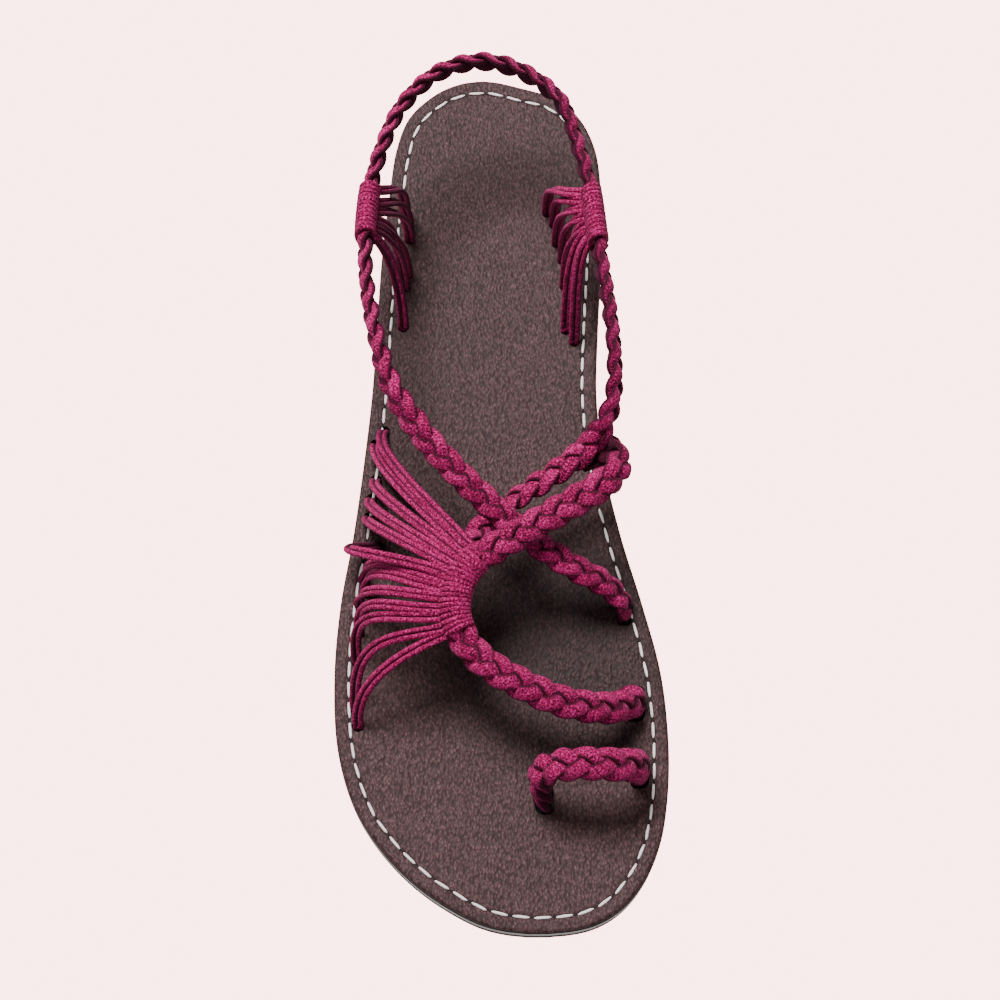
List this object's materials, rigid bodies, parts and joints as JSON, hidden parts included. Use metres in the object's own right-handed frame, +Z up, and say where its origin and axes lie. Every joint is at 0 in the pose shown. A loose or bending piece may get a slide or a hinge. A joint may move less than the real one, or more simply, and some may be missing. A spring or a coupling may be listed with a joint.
{
  "type": "beach sandal",
  "caption": "Right-foot beach sandal: layered flat sole with a braided cord upper, loose side cords, a heel strap and a big-toe loop.",
  "frame": {"origin": "on the ground plane under the middle of the heel, at the flat heel spot of the outsole", "axes": "+Z up from the ground, +Y towards the heel end, -Y towards the toe, +X towards the inner (big-toe) side"},
  "size_m": [0.0894, 0.2496, 0.0546],
  "materials": {
    "outsole_rubber": "matt, fine texture",
    "midsole_foam": "matt closed-cell foam",
    "footbed_leather": "soft pebbled grain, low sheen",
    "cord": "heathered knitted cord"
  },
  "bodies": {
    "root": {"outsole": "outsole_rubber", "midsole": "midsole_foam", "footbed": "footbed_leather", "braided_upper": "cord", "toe_loop": "cord"}
  },
  "joints": []
}
